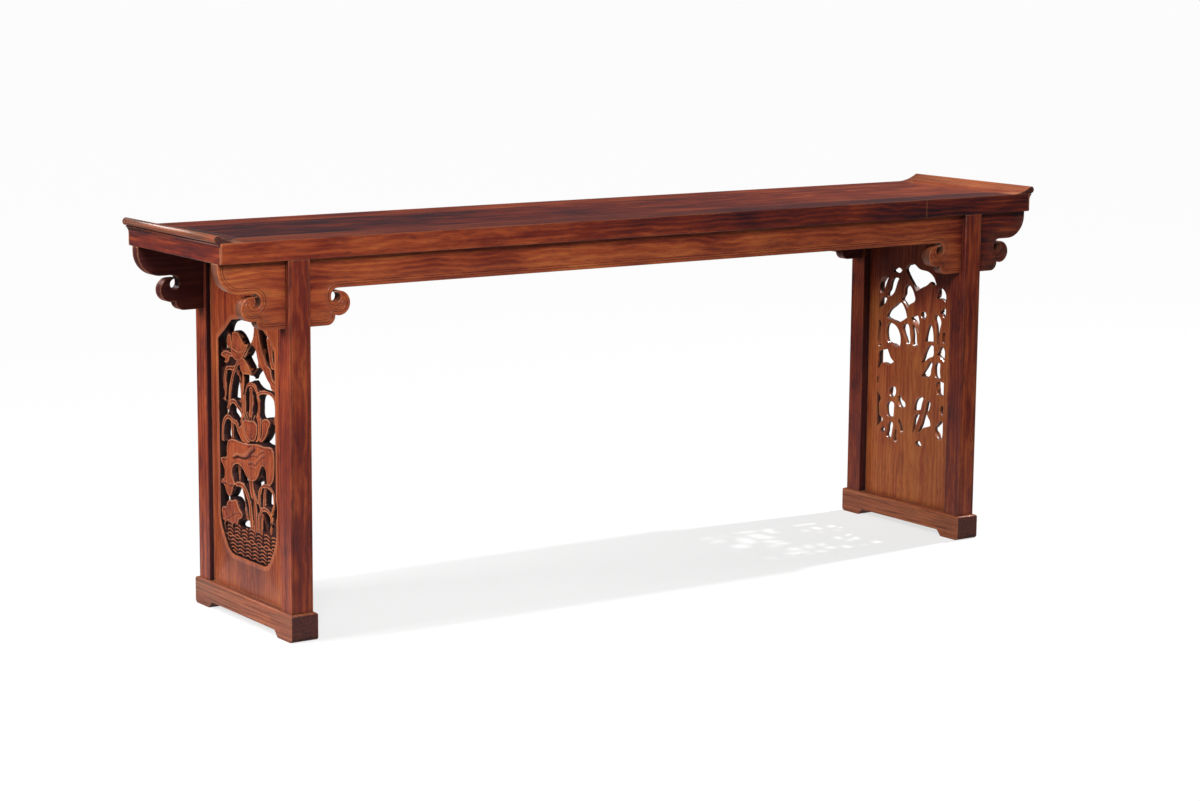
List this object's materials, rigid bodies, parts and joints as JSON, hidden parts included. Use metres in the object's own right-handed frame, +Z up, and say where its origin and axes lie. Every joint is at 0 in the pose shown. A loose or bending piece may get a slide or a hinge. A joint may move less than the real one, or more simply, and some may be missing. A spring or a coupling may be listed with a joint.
{
  "type": "chinese altar table",
  "caption": "Long recessed-leg side table with upturned ends, aprons with scrolled spandrels, and carved openwork lotus boards between the legs of each end on runner feet.",
  "frame": {"origin": "on the floor under the middle of the table", "axes": "+X along the length to the right, +Y from the front to the back, +Z up"},
  "size_m": [2.278, 0.45, 0.8773],
  "materials": {
    "frame_wood": "polished, waxed, reddish brown with darker streaks",
    "panel_wood": "waxed, duller and darker than the frame",
    "batten_wood": "planed, unpolished",
    "apron_wood": "polished, mottled reddish brown",
    "leg_wood": "polished, straight dark grain",
    "carved_wood": "carved and waxed, darker in the hollows",
    "foot_wood": "waxed, dark end grain with open cracks"
  },
  "bodies": {
    "root": {"top_front_rail": "frame_wood", "top_rear_rail": "frame_wood", "top_left_end": "frame_wood", "top_right_end": "frame_wood", "top_panel": "panel_wood", "batten_far_left": "batten_wood", "batten_left": "batten_wood", "batten_middle": "batten_wood", "batten_right": "batten_wood", "batten_far_right": "batten_wood", "front_apron": "apron_wood", "rear_apron": "apron_wood", "leg_front_left": "leg_wood", "leg_rear_left": "leg_wood", "leg_front_right": "leg_wood", "leg_rear_right": "leg_wood", "lotus_board_left": "carved_wood", "lotus_board_right": "carved_wood", "foot_left": "foot_wood", "foot_right": "foot_wood"}
  },
  "joints": []
}
